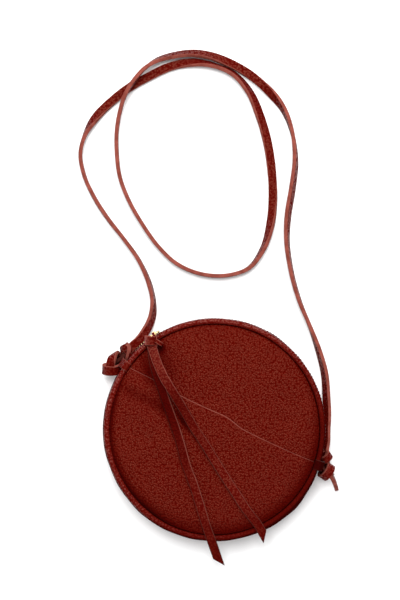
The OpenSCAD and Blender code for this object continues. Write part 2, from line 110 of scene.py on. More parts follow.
def unit(v):
    v = np.asarray(v, float)
    return v / np.maximum(np.linalg.norm(v, axis=-1, keepdims=True), 1e-9)


def ring_faces(rings, count, closed=False):
    """Faces between rings of points, each ring closed; closed joins the last ring to the first."""
    faces = []
    for i in range(rings if closed else rings - 1):
        here, there = i * count, (i + 1) % rings * count
        for j in range(count):
            k = (j + 1) % count
            faces.append((here + j, here + k, there + k, there + j))
    return faces


def turn_of(x, y):
    """Angle round the bag, in degrees from 0 to 360."""
    return np.degrees(np.arctan2(y, x)) % 360


def directions(a):
    """Outwards and onwards round the bag at an angle in radians, and upwards."""
    c, s = math.cos(a), math.sin(a)
    return np.array([c, s, 0]), np.array([-s, c, 0]), np.array([0, 0, 1.0])


def cubic(t, h, start, stop, slope_start, slope_stop):
    """A smooth passage between two values with given slopes; t is the share of the length h."""
    return ((2 * t**3 - 3 * t**2 + 1) * start + (t**3 - 2 * t**2 + t) * h * slope_start
            + (3 * t**2 - 2 * t**3) * stop + (t**3 - t**2) * h * slope_stop)


class Build:
    """Points, faces, material numbers, worn places with painted sheen, and painted shades of one mesh object,
    in millimetres.
    """

    def __init__(self):
        self.points, self.faces, self.kinds, self.values, self.shades = [], [], [], [], []
        self.count = 0

    def add(self, points, faces, kinds=0, values=None, shades=None):
        points = np.asarray(points, float).reshape(-1, 3)
        self.points.append(points)
        self.faces += [tuple(int(i) + self.count for i in f) for f in faces]
        self.kinds += [kinds] * len(faces) if np.isscalar(kinds) else list(kinds)
        for store, given in ((self.values, values), (self.shades, shades)):
            store.append(np.zeros(len(points)) if given is None else np.asarray(given, float).ravel())
        self.count += len(points)
        return self

    def make(self, name, materials, slot):
        mesh = bpy.data.meshes.new(name)
        mesh.from_pydata((np.vstack(self.points) * MM).tolist(), [], self.faces)
        for m in materials:
            mesh.materials.append(m)
        mesh.polygons.foreach_set("material_index", self.kinds)
        mesh.polygons.foreach_set("use_smooth", [True] * len(mesh.polygons))
        for word, values in (("wear_and_sheen", self.values), ("shade", self.shades)):
            layer = mesh.attributes.new(word, "FLOAT", "POINT")
            layer.data.foreach_set("value", np.concatenate(values).astype(np.float32))
        mesh.update()
        outward(mesh)
        piece = bpy.data.objects.new(name, mesh)
        scene.collection.objects.link(piece)
        return piece


def outward(mesh):
    """Turns all faces outwards."""
    b = bmesh.new()
    b.from_mesh(mesh)
    bmesh.ops.recalc_face_normals(b, faces=b.faces)
    b.to_mesh(mesh)
    b.free()
    mesh.update()


def run_through(route, step):
    """A smooth run through a route's points, and the further values of its rows carried along it."""
    both = np.asarray(route, float)
    at = np.concatenate([[0], np.cumsum(np.linalg.norm(np.diff(both[:, :3], axis=0), axis=1))])
    slope = np.gradient(both, at, axis=0)
    count = max(int(at[-1] / step) + 1, 4)
    s = np.linspace(0, at[-1], count)
    i = np.clip(np.searchsorted(at, s, side="right") - 1, 0, len(at) - 2)
    h = (at[i + 1] - at[i])[:, None]
    t = ((s - at[i]) / h[:, 0])[:, None]
    out = cubic(t, h, both[i], both[i + 1], slope[i], slope[i + 1])
    return out[:, :3], out[:, 3:]


def lace_outline(w, t, cup, across=9):
    """Outline of a flat lace: two broad faces and two cut edges, with a seam where it is folded double."""
    c, seam = min(0.24 * t, 0.5), 0.3 if t > 3 else 0.0
    xs = np.linspace(-w / 2 + c, w / 2 - c, across)
    bend = cup * (1 - (2 * xs / w) ** 2)
    top = [(x, t / 2 + b) for x, b in zip(xs, bend)]
    right = [(w / 2 - 0.3 * c, t / 2 - 0.3 * c), (w / 2, 0.22 * t), (w / 2 - seam, 0), (w / 2, -0.22 * t),
             (w / 2 - 0.3 * c, -t / 2 + 0.3 * c)]
    bottom = [(x, -t / 2 + b) for x, b in zip(xs[::-1], bend[::-1])]
    left = [(-x, -y) for x, y in right]
    points = top + right + bottom + left
    kinds = [0] * (across - 1) + [1] * 6 + [0] * (across - 1) + [1] * 6
    wear_and_sheen = [0.5 * float(abs(2 * x / w) ** 22) for x, _ in points]
    return np.array(points), kinds, np.array(wear_and_sheen)


def ribbon(build, points, across, w=LACE_W, t=LACE_T, cup=0.0, seed=1, closed=False, slant=(0, 0),
           wobble=0.12, pale=0.0, shade=0.0, rims=(0.0, 0.0)):
    """A flat lace along points; across is the direction of its width at each point.

    slant leans its cut ends, pale lightens it and shade paints shade on it, both varying along it, and rims
    paint shade on its cut edges on the side away from across and towards it.
    """
    n = len(points)
    if closed:
        tangent = unit(np.roll(points, -1, 0) - np.roll(points, 1, 0))
    else:
        tangent = unit(np.gradient(points, axis=0))
    across = unit(across - (across * tangent).sum(1, keepdims=True) * tangent)
    through = np.cross(across, tangent)
    outline, kinds, wear_and_sheen = lace_outline(w, t, cup)
    along = np.concatenate([[0], np.cumsum(np.linalg.norm(np.diff(points, axis=0), axis=1))])
    wide = 1 + wobble / w * waves(along, along * 0 + seed, 14, seed)
    x = outline[None, :, 0] * wide[:, None]
    y = np.repeat(outline[None, :, 1], n, 0)
    shift = np.zeros((n, len(outline)))
    first, last = slant
    sideways = (outline[:, 0] / w)[None, :]
    if first:
        shift += first * sideways * (1 - soft_step(0, abs(first) + 4, along))[:, None]
    if last:
        shift += last * sideways * soft_step(along[-1] - abs(last) - 4, along[-1], along)[:, None]
    rings = (points[:, None, :] + across[:, None, :] * x[..., None] + through[:, None, :] * y[..., None]
             + tangent[:, None, :] * shift[..., None])
    m = len(outline)
    faces = ring_faces(n, m, closed)
    all_kinds = [k for _ in range(n if closed else n - 1) for k in kinds]
    if not closed:
        faces += [tuple(range(m - 1, -1, -1)), tuple(range((n - 1) * m, n * m))]
        all_kinds += [1, 1]
    low, high = np.broadcast_to(rims[0], n)[:, None], np.broadcast_to(rims[1], n)[:, None]
    at_edge = np.clip((np.abs(2 * outline[:, 0] / w) - 0.86) / 0.08, 0, 1)
    rim = np.where(outline[:, 0] > 0, high, low) * at_edge
    value = wear_and_sheen * (1 - rim) + np.broadcast_to(pale, n)[:, None]
    dark = np.clip(np.broadcast_to(shade, n)[:, None] + rim, 0, DARKEST)
    return build.add(rings.reshape(-1, 3), faces, all_kinds, value, dark)


def rolled(points, roll):
    """Width directions of a lace on a surface: roll 0 stands on edge, 90 lies flat."""
    tangent = unit(np.gradient(points, axis=0))
    side = unit(np.stack([tangent[:, 1], -tangent[:, 0], tangent[:, 0] * 0], 1))
    up = np.cross(side, tangent)
    r = np.radians(roll)[:, None]
    return up * np.cos(r) + side * np.sin(r)


# Materials
def node(tree, kind, **values):
    n = tree.nodes.new(kind)
    for key, value in values.items():
        setattr(n, key, value)
    return n


def feed(tree, socket, value):
    """Links an input to another node's output, or sets its value."""
    if isinstance(value, bpy.types.NodeSocket):
        tree.links.new(value, socket)
    else:
        socket.default_value = value


def put(tree, n, **inputs):
    for key, value in inputs.items():
        feed(tree, n.inputs[key.replace("_", " ")], value)
    return n


def material(name):
    m = bpy.data.materials.new(name)
    m.use_nodes = True
    tree = m.node_tree
    tree.nodes.clear()
    out = node(tree, "ShaderNodeOutputMaterial")
    shader = node(tree, "ShaderNodeBsdfPrincipled")
    tree.links.new(shader.outputs[0], out.inputs[0])
    place = node(tree, "ShaderNodeTexCoord").outputs["Object"]
    return m, tree, shader, place


def noise(tree, place, size_mm, detail=3.0, roughness=0.55):
    n = put(tree, node(tree, "ShaderNodeTexNoise"), Vector=place, Scale=1 / (size_mm * MM), Detail=detail,
            Roughness=roughness)
    return n.outputs["Fac"]


def cells(tree, place, size_mm, feature="SMOOTH_F1", flat=False):
    n = node(tree, "ShaderNodeTexVoronoi", feature=feature, voronoi_dimensions="2D" if flat else "3D")
    put(tree, n, Vector=place, Scale=1 / (size_mm * MM))
    if feature == "SMOOTH_F1":
        n.inputs["Smoothness"].default_value = 0.35
    return n.outputs["Distance"]


def sums(tree, operation, a, b, clamp=False):
    n = node(tree, "ShaderNodeMath", operation=operation, use_clamp=clamp)
    for socket, value in zip(n.inputs, (a, b)):
        feed(tree, socket, value)
    return n.outputs[0]


def times(tree, a, b, clamp=False):
    return sums(tree, "MULTIPLY", a, b, clamp)


def bumps(tree, height, strength, distance):
    """A surface direction from a height."""
    n = put(tree, node(tree, "ShaderNodeBump"), Height=height, Strength=strength, Distance=distance)
    return n.outputs[0]


def span(tree, value, low, high, to_low=0.0, to_high=1.0):
    n = node(tree, "ShaderNodeMapRange")
    put(tree, n, Value=value, From_Min=low, From_Max=high, To_Min=to_low, To_Max=to_high)
    return n.outputs[0]


def blend_colours(tree, share, a, b):
    n = node(tree, "ShaderNodeMix", data_type="RGBA")
    for socket, value in ((n.inputs[0], share), (n.inputs[6], a), (n.inputs[7], b)):
        feed(tree, socket, (*value, 1) if isinstance(value, tuple) else value)
    return n.outputs[2]


def painted(tree, word):
    """The value that a mesh carries under this word: its worn places and painted sheen, or its painted shade.
    """
    return node(tree, "ShaderNodeAttribute", attribute_name=word).outputs["Fac"]


def leather(name, base, dark, light, pale, pebble=1.75, depth=0.8, rough=(0.3, 0.4), gloss=0.24,
            tint=(1, 0.66, 0.4), flat=False):
    """Pebbled leather: pebble is the grain's size in millimetres, and flat draws it on the ground plan."""
    m, tree, shader, place = material(name)
    warp = put(tree, node(tree, "ShaderNodeTexNoise"), Vector=place, Scale=1 / (5 * MM), Detail=2.0)
    moved = node(tree, "ShaderNodeVectorMath", operation="MULTIPLY_ADD")
    tree.links.new(warp.outputs["Color"], moved.inputs[0])
    moved.inputs[1].default_value = (0.0006,) * 3
    tree.links.new(place, moved.inputs[2])
    warped = moved.outputs[0]
    big, small = cells(tree, warped, pebble, "F1", flat=flat), cells(tree, warped, pebble * 0.45, flat=flat)
    fine = noise(tree, place, 0.5, 4)
    height = sums(tree, "SUBTRACT", 1.0, big)
    height = sums(tree, "SUBTRACT", height, times(tree, small, 0.3))
    height = sums(tree, "ADD", height, times(tree, fine, 0.15))
    put(tree, shader, Normal=bumps(tree, height, depth, 0.0011))
    crease = span(tree, big, 0.3, 0.64)
    broad = span(tree, noise(tree, place, 46, 3), 0.34, 0.68)
    middle = span(tree, noise(tree, place, 9, 3), 0.35, 0.7)
    colour = blend_colours(tree, broad, base, light)
    colour = blend_colours(tree, times(tree, middle, 0.2), colour, dark)
    # Painted shade: the grain's creases are darkened in colour, standing in for the shade that falls in them
    colour = blend_colours(tree, times(tree, crease, 0.58), colour, dark)
    # Worn places, and the painted sheen on the tails, are blended to the pale colour in rubbed patches
    rubbed = span(tree, noise(tree, place, 2.2, 4), 0.3, 0.62)
    colour = blend_colours(tree, times(tree, painted(tree, "wear_and_sheen"), rubbed, True), colour, pale)
    # Painted shade: the mesh's shade value darkens the colour towards the shadow colour and takes away the
    # sheen
    painted_shade = painted(tree, "shade")
    colour = blend_colours(tree, painted_shade, colour, SHADOW)
    put(tree, shader, Base_Color=colour, Roughness=span(tree, noise(tree, place, 5, 4), 0.3, 0.7, *rough))
    lit = sums(tree, "SUBTRACT", 1.0, times(tree, painted_shade, 2.2), True)
    sheen = times(tree, span(tree, crease, 0, 1, gloss, 0), lit)
    tree.links.new(sheen, shader.inputs["Specular IOR Level"])
    shader.inputs["Specular Tint"].default_value = (*tint, 1)
    return m


def raw_edge(name, light, dark):
    m, tree, shader, place = material(name)
    fibre = noise(tree, place, 0.55, 5, 0.7)
    patch = span(tree, noise(tree, place, 6, 2), 0.35, 0.7)
    colour = blend_colours(tree, patch, light, dark)
    colour = blend_colours(tree, span(tree, fibre, 0.42, 0.72, 0, 0.55), colour, dark)
    # Painted shade from the mesh's shade value
    colour = blend_colours(tree, painted(tree, "shade"), colour, SHADOW)
    put(tree, shader, Base_Color=colour, Normal=bumps(tree, fibre, 0.5, 0.0004),
        Roughness=span(tree, fibre, 0.3, 0.7, 0.7, 0.9))
    shader.inputs["Specular IOR Level"].default_value = 0.1
    shader.inputs["Specular Tint"].default_value = (1, 0.6, 0.5, 1)
    return m


def cloth(name, light, dark, thread=0.55, depth=0.5):
    m, tree, shader, place = material(name)
    turned = put(tree, node(tree, "ShaderNodeMapping"), Vector=place)
    turned.inputs["Rotation"].default_value = (0.5, 0.3, 0.4)
    parts = []
    for direction in ("X", "Y"):
        w = node(tree, "ShaderNodeTexWave", bands_direction=direction)
        put(tree, w, Vector=turned.outputs[0], Scale=1 / (thread * MM) / FULL_TURN, Distortion=1.2, Detail=1)
        parts.append(w.outputs["Fac"])
    weave = times(tree, *parts)
    patch = span(tree, noise(tree, place, 12, 3), 0.3, 0.7)
    share = sums(tree, "ADD", times(tree, weave, 0.6), times(tree, patch, 0.4))
    put(tree, shader, Base_Color=blend_colours(tree, share, dark, light),
        Normal=bumps(tree, weave, depth, 0.0003), Roughness=span(tree, patch, 0, 1, 0.78, 0.95))
    shader.inputs["Specular IOR Level"].default_value = 0.2
    shader.inputs["Sheen Weight"].default_value = 0.25
    return m


def metal(name, light, dark):
    m, tree, shader, place = material(name)
    smudge = span(tree, noise(tree, place, 2.5, 4), 0.35, 0.7)
    put(tree, shader, Base_Color=blend_colours(tree, times(tree, smudge, 0.5), light, dark),
        Normal=bumps(tree, noise(tree, place, 0.4, 2), 0.08, 0.0002),
        Roughness=span(tree, noise(tree, place, 1.2, 3), 0.3, 0.7, 0.2, 0.36))
    shader.inputs["Metallic"].default_value = 1.0
    return m


PALE = (0.2, 0.05, 0.04)
GRAIN = ((0.099, 0.0025, 0.0008), (0.045, 0.0005, 0.0002), (0.106, 0.0036, 0.0013), PALE)
skin = leather("oxblood_grain", *GRAIN, flat=True)
skin_wall = leather("oxblood_wall", *GRAIN)
skin_soft = leather("oxblood_smooth", (0.112, 0.0034, 0.0016), (0.05, 0.001, 0.0005), (0.13, 0.006, 0.003),
                    PALE, 1.9, 0.5, gloss=0.26)
skin_pipe = leather("oxblood_piping", (0.115, 0.0036, 0.0018), (0.05, 0.001, 0.0005), (0.135, 0.006, 0.003),
                    PALE, 1.6, 0.35, (0.32, 0.42), 0.58, (1, 0.62, 0.5))
lace_skin = leather("oxblood_lace", (0.098, 0.0026, 0.0012), (0.046, 0.001, 0.0005), (0.112, 0.0045, 0.0024),
                    PALE, 1.8, 0.6, gloss=0.26)
edge = raw_edge("cut_edge", (0.235, 0.06, 0.044), (0.14, 0.03, 0.021))
lining_cloth = cloth("cotton_lining", (0.42, 0.31, 0.22), (0.26, 0.17, 0.11))
tape_cloth = cloth("zip_tape_weave", (0.13, 0.018, 0.018), (0.05, 0.006, 0.006), 0.7, 0.6)
piping_cotton = cloth("piping_cotton", (0.72, 0.66, 0.55), (0.5, 0.44, 0.34), 0.8)
brass = metal("brushed_brass", (0.86, 0.64, 0.32), (0.55, 0.36, 0.14))
stitch_thread = cloth("waxed_thread", (0.16, 0.02, 0.018), (0.06, 0.006, 0.006), 0.3, 0.3)


# The strap's lace: places along it and its roll, which is 0 on edge and 90 flat
STRAP = [
    (-82, 69, 24, -85), (-76, 75.5, 22, -85), (-69.5, 81.5, 17, -75), (-64, 89, 11, -60),
    (-57.5, 105, 4, -35), (-57, 118, 4, -15), (-60, 132, 4, -12), (-70, 155, 4, -4), (-84, 175, 4, 0),
    (-99, 194, 4, 5), (-113, 216, 4, 5), (-122, 237, 4, 0), (-125, 255, 4, 5), (-121, 272, 4, 10),
    (-110, 290, 3, 60), (-96, 304, 3, 80), (-78, 318, 3, 88), (-60, 328, 3, 88), (-43, 336, 3, 82),
    (-26, 340, 3, 65), (-12, 340, 3, 40), (2, 337, 4, 22), (19, 329, 4, 25), (33, 313, 4, 42),
    (43, 290, 4, 62), (50, 265, 4, 75), (54, 237, 4, 85), (55, 214, 4, 105), (53, 191, 4, 130),
    (45, 165, 4, 160), (32, 148, 4, 175), (16, 142, 4, 180), (0, 141, 4, 180), (-17, 144, 4, 180),
    (-36, 153, 4, 180), (-51, 167, 4, 180), (-67, 189, 4, 180), (-81, 214, 4, 180),
    (-88, 233, 4, 180), (-91, 256, 4, 180), (-91, 276, 5, 180), (-88, 294, 7, 180),
    (-82, 311, 12, 180), (-73, 325, 12, 180), (-63, 336, 8, 185), (-52, 343, 5, 203),
    (-38, 347, 4, 214), (-22, 349, 4, 222), (-5, 347, 4, 232), (14, 340, 4, 250), (32, 330, 4, 265),
    (50, 315, 4, 295), (64, 298, 4, 335), (73, 275, 4, 360), (76, 250, 4, 380), (73, 222, 4, 390),
    (69, 197, 4, 390), (68, 175, 4, 380), (71, 151, 4, 375), (80, 117, 4, 370), (89, 95, 4, 360),
    (98, 70, 4, 340), (103, 51, 4, 330), (105, 27, 4, 322), (105.5, 9, 5, 318), (104.5, -3, 8, 315),
    (104, -13, 12, 312), (102.8, -21, 15, 322), (102.4, -28, 17, 335),
]
strap_points, strap_roll = run_through(STRAP, 2.2)
strap_roll = strap_roll[:, 0]
roll_r = np.radians(strap_roll)
on_floor = np.abs(np.cos(roll_r)) * LACE_W / 2 + np.abs(np.sin(roll_r)) * STRAP_T / 2 + 0.1
strap_points[:, 2] = np.maximum(strap_points[:, 2], on_floor)
strap = ribbon(Build(), strap_points, rolled(strap_points, strap_roll), t=STRAP_T, cup=0.15, seed=3).make(
    "strap_lace", [lace_skin, edge], "leather")


# Heights of the front's leather
def swell(r):
    q = np.minimum(r / PANEL_R, 1)
    return 39 + 5.2 * np.sqrt(np.maximum(1 - q**4, 0))


def face_height(x, y):
    """Outer side of the front leather, with its soft hollows and tension wrinkles."""
    r = np.hypot(x, y)
    inner = 1 - soft_step(80, 95, r)
    z = swell(r)
    z = z + inner * (0.28 * waves(x, y, 90, 4) + 0.12 * waves(x, y, 34, 8))
    # Wrinkles that run down to the right from the zip's end
    cx, cy = x + 30, y - 58
    along, off = 0.64 * cx - 0.77 * cy, 0.77 * cx + 0.64 * cy
    fan = np.exp(-(along / 24) ** 2 - (off / 15) ** 2)
    return z + inner * fan * (0.16 * np.sin(off * 1.15 + 0.8 * np.sin(along * 0.16)) - 1.1)


def rim_drop(r):
    """The leather turns down between the panel and the welt."""
    return np.where(r > RIM_R, -((np.maximum(r, RIM_R) - RIM_R) * 1.55), 0)


# Distance of the pocket's raw edge from the bag's centre, at places along the fold's direction
EDGE_ALONG = [-104, -97, -80, -62, -45, -32, -20, -11, -3, 8, 20, 36, 52, 72, 84, 94, 104]
EDGE_OUT = [15.4, 15.2, 13.9, 12.9, 12.3, 12.0, 12.3, 14.2, 15.2, 14.6, 14.0, 13.6, 14.3, 15.4, 15.3, 15.1,
            15.0]


def pocket_edge(t):
    at, out = np.array(EDGE_ALONG, float), np.array(EDGE_OUT, float)
    slope = np.gradient(out, at)
    t = np.clip(t, at[0], at[-1])
    i = np.clip(np.searchsorted(at, t, side="right") - 1, 0, len(at) - 2)
    h = at[i + 1] - at[i]
    return cubic((t - at[i]) / h, h, out[i], out[i + 1], slope[i], slope[i + 1])


def fold_place(x, y):
    """Place along the fold's direction, and distance below the pocket's raw edge."""
    t = x * FOLD_ALONG[0] + y * FOLD_ALONG[1]
    return t, pocket_edge(t) - (x * FOLD_OUT[0] + y * FOLD_OUT[1])


def pocket_height(x, y):
    """Outer side of the pocket, which puffs and buckles a little below its raw edge."""
    t, below = fold_place(x, y)
    r = np.hypot(x, y)
    inner = 1 - soft_step(84, 95, r)
    left = soft_step(30, 62, t)
    z = face_height(x, y) + 1.8
    z = z + inner * left * (1.0 * hill(9, 6, below) - 0.5 * hill(20, 6, below) + 0.35 * hill(34, 9, below))
    z = z + inner * (1 - left) * 0.35 * hill(7, 6, below)
    z = z + inner * 0.16 * waves(x, y, 60, 21) * soft_step(4, 30, below)
    # A wide hollow beside the welt at the left and lower left
    turn = turn_of(x, y)
    side = soft_step(148, 165, turn) * (1 - soft_step(225, 262, turn))
    return z - side * 1.6 * hill(93.2, 2.6, r)


def rim_shade(x, y):
    """Painted shade in the groove beside the piping, widest at the left and lower left."""
    turn = turn_of(x, y)
    side = soft_step(140, 165, turn) * (1 - soft_step(228, 265, turn))
    right = 1 - soft_step(20, 50, turn) * (1 - soft_step(250, 290, turn))
    r = np.hypot(x, y)
    groove = (0.3 - 0.3 * right) * hill(96.4, 1.4, r)
    return np.clip(groove + side * 0.6 * hill(94.6, 2.0, r) + right * 0.25 * hill(95, 4, r), 0, 1)


# Painted shadows under and beside the pull, where its hitch and tails stand over the leather: middle, half
# lengths, direction and depth of the shade
PULL_SHADOWS = [(-44, 62, 17, 7, -60, 0.3), (-49.6, 75, 5, 4.2, -60, 0.9), (-61, 54, 14, 6, -70, 0.5),
           (-29.5, 8.5, 12, 2.3, -57, 0.75), (-46, 20, 18, 5, -65, 0.25)]


def face_shade(x, y):
    """Painted shade of the front: in the rim's groove, over the bag's lower part, and painted shadows under
    and beside the pull.
    """
    low = 1 - soft_step(-70, 20, y - 0.25 * x)
    total = rim_shade(x, y) + low * (0.26 * soft_step(80, 92, np.hypot(x, y)) + 0.06)
    for cx, cy, long, short, turn, depth in PULL_SHADOWS:
        c, s = math.cos(math.radians(turn)), math.sin(math.radians(turn))
        dx, dy = x - cx, y - cy
        total = total + depth * hill(0, long, dx * c + dy * s) * hill(0, short, dy * c - dx * s)
    return np.clip(total, 0, DARKEST)


def star_shell(centre, limit, angles, shares, height, thick, drop=None, raw=None, shade=None):
    """A closed sheet of leather: rays from a centre out to a limit, with a height over the ground plan.

    drop lowers it by radius, raw says which rays end at a raw edge, and shade gives its painted shade.
    """
    centre = np.asarray(centre, float)
    reach = np.array([limit(a) for a in angles])
    ray = np.stack([np.cos(angles), np.sin(angles)], 1)
    rings = []
    for s in shares:
        xy = centre + ray * (reach * s)[:, None]
        r = np.hypot(xy[:, 0], xy[:, 1])
        z = height(xy[:, 0], xy[:, 1]) + (drop(r) if drop is not None else 0)
        rings.append(np.column_stack([xy, z]))
    count, m = len(angles), len(rings)
    last = rings[-1]
    rings[-1] = last - np.column_stack([ray * 0.35, np.zeros(count)])
    is_raw = np.array([bool(raw and raw(a)) for a in angles])
    lean = np.column_stack([ray, np.zeros(count)]) * (0.6 * is_raw)[:, None]
    wall = [last + lean * 0.2 - [0, 0, 0.3], last + lean - [0, 0, thick - 0.3]]
    under = [ring - [0, 0, thick] for ring in rings[::-1]]
    under[0] = under[0] + lean
    every = rings + wall + under
    top_z = height(*centre)
    points = np.vstack([*every, [*centre, top_z], [*centre, top_z - thick]])
    faces = ring_faces(len(every), count)
    top, low = len(every) * count, len(every) * count + 1
    faces += [(top, (j + 1) % count, j) for j in range(count)]
    end = (len(every) - 1) * count
    faces += [(low, end + j, end + (j + 1) % count) for j in range(count)]
    kinds = np.zeros(len(faces), int)
    wear_and_sheen = np.zeros(len(points))
    if raw is not None:
        for row in range(m - 1, m + 2):
            kinds[row * count:(row + 1) * count] = is_raw & np.roll(is_raw, -1)
        wear_and_sheen[(m - 1) * count:m * count] = 0.8 * is_raw
        wear_and_sheen[(m - 2) * count:(m - 1) * count] = 0.35 * is_raw
    dark = None if shade is None else shade(points[:, 0], points[:, 1])
    return Build().add(points, faces, kinds, wear_and_sheen, dark)


def blended(piece):
    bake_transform(piece)


# Rings of the front's sheets: close together towards the rim
rim_shares = np.concatenate([np.sin(np.linspace(0.02, 1, 62) * math.pi / 2) * 0.985,
                             [0.989, 0.993, 0.9965, 1.0]])
circle_angles = np.linspace(0, 2 * math.pi, 360, endpoint=False)
front = star_shell(
    (0, 0), lambda a: FRONT_EDGE_R, circle_angles, rim_shares, face_height, LEATHER_T, rim_drop,
    shade=face_shade).make("front_leather", [skin, edge], "leather")
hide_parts("front_panel_lower", "front_panel_upper")
blended(front)

POCKET_MIDDLE = FOLD_OUT * -34
RAY_STEPS = np.arange(0, 215, 0.05)


def pocket_limit(a):
    """How far a ray from the pocket's middle runs to the rim or to the raw edge."""
    ray = np.array([math.cos(a), math.sin(a)])
    p = POCKET_MIDDLE + RAY_STEPS[:, None] * ray
    t = p @ FOLD_ALONG
    outside = (np.hypot(p[:, 0], p[:, 1]) > FRONT_EDGE_R) | (p @ FOLD_OUT > pocket_edge(t))
    return RAY_STEPS[int(np.argmax(outside))]


def pocket_corner(side):
    """Angle of the ray to the corner between the raw edge and the rim."""
    t = side * 95.9
    corner = FOLD_ALONG * t + FOLD_OUT * pocket_edge(t)
    corner = corner * FRONT_EDGE_R / np.hypot(*corner)
    v = corner - POCKET_MIDDLE
    return math.atan2(v[1], v[0]) % (2 * math.pi)


def pocket_shade(x, y):
    """Painted shade of the rim's groove, and painted shade in the soft folds below the left part of the raw
    edge.
    """
    t, below = fold_place(x, y)
    left = soft_step(34, 60, t) * (1 - soft_step(88, 95, t))
    return np.clip(face_shade(x, y) + left * 0.3 * hill(19, 5, below), 0, DARKEST)


right_corner, left_corner = pocket_corner(-1), pocket_corner(1)
if right_corner > left_corner:
    right_corner -= 2 * math.pi
open_angles = np.linspace(right_corner, left_corner, 240)
rim_angles = np.linspace(left_corner, right_corner + 2 * math.pi, 262)[1:-1]
pocket_angles = np.concatenate([open_angles, rim_angles])
pocket = star_shell(
    POCKET_MIDDLE, pocket_limit, pocket_angles, rim_shares, pocket_height, LEATHER_T, rim_drop,
    lambda a: a <= left_corner + 1e-6, pocket_shade).make("pocket_leather", [skin, edge], "leather")
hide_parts("pocket_panel")
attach(pocket, "bag")


def back_height(r):
    """The back turns up towards its welt."""
    return np.where(r > BACK_FLAT_R, 2 * ((r - BACK_FLAT_R) / 7) ** 2, 0)


def round_sheet(name, radius, height, thick, materials, slot):
    shares = np.sin(np.linspace(0.03, 1, 44) * math.pi / 2)
    angles = np.linspace(0, 2 * math.pi, 192, endpoint=False)
    return star_shell((0, 0), lambda a: radius, angles, shares, height, thick).make(name, materials, slot)


def back_top(x, y):
    r = np.hypot(x, y)
    return 1.68 + back_height(r) + 0.03 * soft_step(30, 80, r) * waves(x, y, 60, 14)


back = round_sheet("back_leather", 96.9, back_top, LEATHER_T, [skin, edge], "leather")
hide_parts("back_panel")
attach(back, "bag")
back_lining = round_sheet(
    "back_lining_cloth", 92, lambda x, y: 2.8 + back_height(np.hypot(x, y)) + 0.14 * waves(x, y, 24, 31),
    LINING_T, [lining_cloth], "lining")
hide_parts("back_lining")
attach(back_lining, "bag")
front_lining = round_sheet(
    "front_lining_cloth", 93, lambda x, y: face_height(x, y) - 2.15 + 0.14 * waves(x, y, 24, 33),
    LINING_T, [lining_cloth], "lining")
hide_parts("front_lining_lower", "front_lining_upper")
blended(front_lining)


# Walls round the rim
def around(degrees, outline, closed=False, kinds=None, shade=None):
    """A wall round the bag: outline gives its closed section at an angle, as rows of radius and height.

    shade gives the section's painted shade from the angle and those rows.
    """
    sections = [np.asarray(outline(d), float) for d in degrees]
    m = len(sections[0])
    rings = []
    for a, s in zip(map(math.radians, degrees), sections):
        rings.append(np.column_stack([s[:, 0] * math.cos(a), s[:, 0] * math.sin(a), s[:, 1]]))
    faces = ring_faces(len(rings), m, closed)
    all_kinds = (kinds or [0] * m) * (len(rings) if closed else len(rings) - 1)
    if not closed:
        faces += [tuple(range(m)), tuple(range((len(rings) - 1) * m, len(rings) * m))[::-1]]
        all_kinds += [1, 1]
    shades = None
    if shade is not None:
        shades = np.concatenate([np.broadcast_to(shade(d, s), m) for d, s in zip(degrees, sections)])
    return Build().add(np.vstack(rings), faces, all_kinds, None, shades)


def bulge(d):
    """How far the open end of the zip stands out from the rim."""
    return 5.2 * soft_step(126.2, 130.5, d) * (1 - soft_step(137, 141.8, d))


def thick_line(line, thick):
    """A closed outline of a given thickness inwards from a line of radius and height."""
    line = np.asarray(line, float)
    tangent = unit(np.gradient(line, axis=0))
    normal = np.stack([tangent[:, 1], -tangent[:, 0]], 1)
    inner = line - normal * thick
    tip0 = (line[0] + inner[0]) / 2 - tangent[0] * thick * 0.3
    tip1 = (line[-1] + inner[-1]) / 2 + tangent[-1] * thick * 0.3
    return np.vstack([line, [tip1], inner[::-1], [tip0]])


# The wall's hems inside the welts, and the seeds of its folds
LOW_HEM, HIGH_HEM = [(99.7, 5.5), (100.55, 5.35)], [(100.55, 37.35), (99.7, 37.3)]
GUSSET_FOLDS, FRONT_FOLDS, BACK_FOLDS = 5, 6, 7
# Shares of the zip's bulge: the front side's, and that of the back tape and teeth
FRONT_SHARE, BACK_SHARE = 0.12, 0.6
# How far the soft wall stands out at mid height, at angles round the bag
BELLY_AT = [*range(0, 301, 20), 315, 330, 345, 360]
BELLY_OUT = [1.2, 1.3, 0.9, 1.7, 0.7, 0.2, 0.6, 1.4, 1.8, 2.0, 2.1, 2.6, 3.0, 3.3, 3.5, 4.4, 4.6, 3.0, 1.6,
             1.2]


def wall_out(z, d, seed, out=0.0):
    """Outer radius of the gusset and strips, with low folds and a little sag."""
    arc = math.radians(d) * WALL_R
    middle = math.sin(math.pi * min(max((z - 5.5) / 31.8, 0), 1))
    fold = 0.27 * waves(arc, z * 0.55, 26, seed) * middle
    return WALL_R + middle * np.interp(d % 360, BELLY_AT, BELLY_OUT) + fold + out * middle


def gusset_section(d):
    zs = [5.6, 6.2, 8, 11, 15, 19, 23, 27, 31, 34.5, 36.4, 37.0]
    line = LOW_HEM + [(wall_out(z, d, GUSSET_FOLDS, bulge(d)), z) for z in zs] + HIGH_HEM
    return thick_line(line, LEATHER_T)


def gusset_shade(d, section):
    """Painted shade, darker towards the top, most of all at the bag's lower side."""
    return 0.3 + (0.25 + 0.18 * soft_step(225, 250, d)) * soft_step(14, 28, section[:, 1])


gusset = around(np.arange(137.85, 347.66, 0.75), gusset_section, shade=gusset_shade).make(
    "gusset_leather", [skin_wall, edge], "leather")
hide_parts("lower_gusset")
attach(gusset, "bag")


